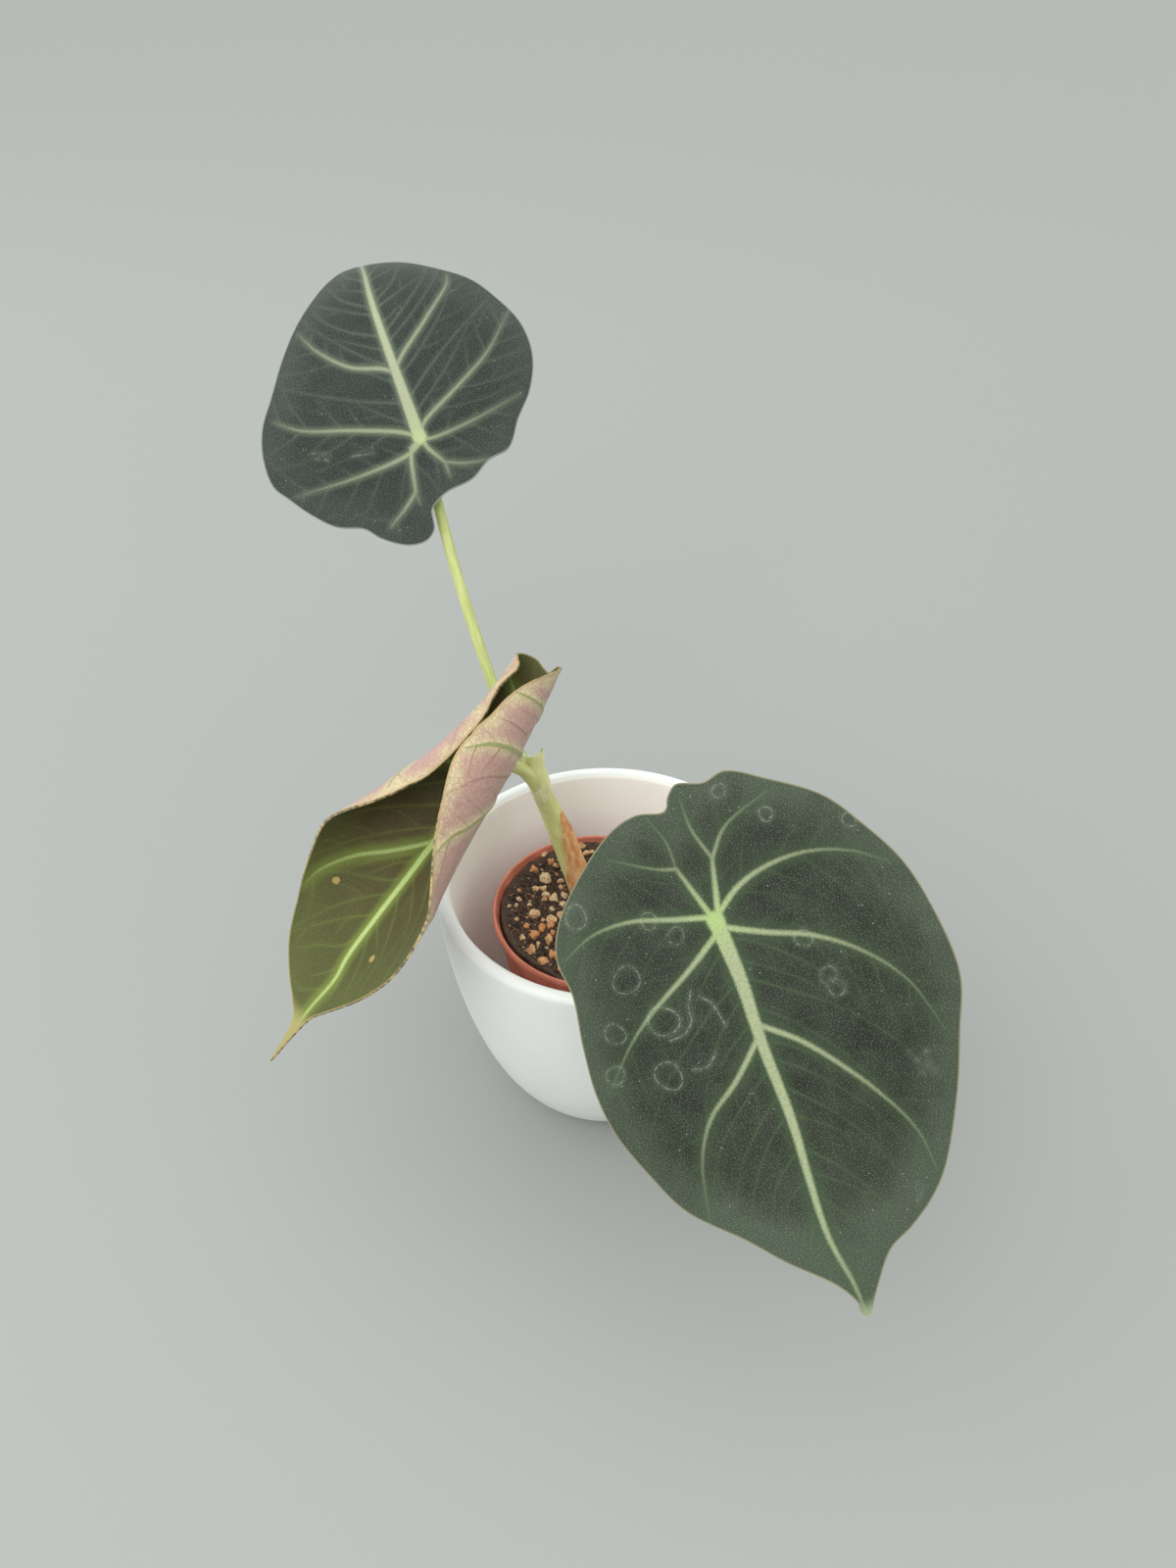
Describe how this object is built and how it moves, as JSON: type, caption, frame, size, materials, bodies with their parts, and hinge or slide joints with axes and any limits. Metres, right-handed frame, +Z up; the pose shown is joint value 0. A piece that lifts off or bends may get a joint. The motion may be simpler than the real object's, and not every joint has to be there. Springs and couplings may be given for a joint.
{
  "type": "potted black velvet alocasia",
  "caption": "Small aroid with velvety dark heart-shaped leaves and pale veins, in a red nursery pot that stands inside a larger round matt white cover pot.",
  "frame": {"origin": "centre of the cover pot's flat base", "axes": "+Z up, -Y towards the viewer of the picture, +X to that viewer's right"},
  "size_m": [0.1647, 0.2492, 0.2021],
  "materials": {
    "matt_glaze": "satin matt white glaze",
    "red_plastic": "moulded matt brick red",
    "potting_mix": "damp, open, with pale pumice",
    "rhizome_skin": "rough brown bark",
    "stalk_skin": "smooth, slightly glossy",
    "dry_sheath_skin": "dry and papery",
    "dark_leaf": "velvety, pale veins",
    "young_leaf": "velvety above, mauve beneath"
  },
  "bodies": {
    "root": {"cover_pot": "matt_glaze", "nursery_pot": "red_plastic", "soil": "potting_mix", "rhizome": "rhizome_skin", "petiole_rolled": "stalk_skin", "petiole_upper": "stalk_skin", "petiole_front": "stalk_skin", "dry_sheath": "dry_sheath_skin", "leaf_front": "dark_leaf", "leaf_rolled": "young_leaf", "leaf_upper": "dark_leaf"}
  },
  "joints": []
}
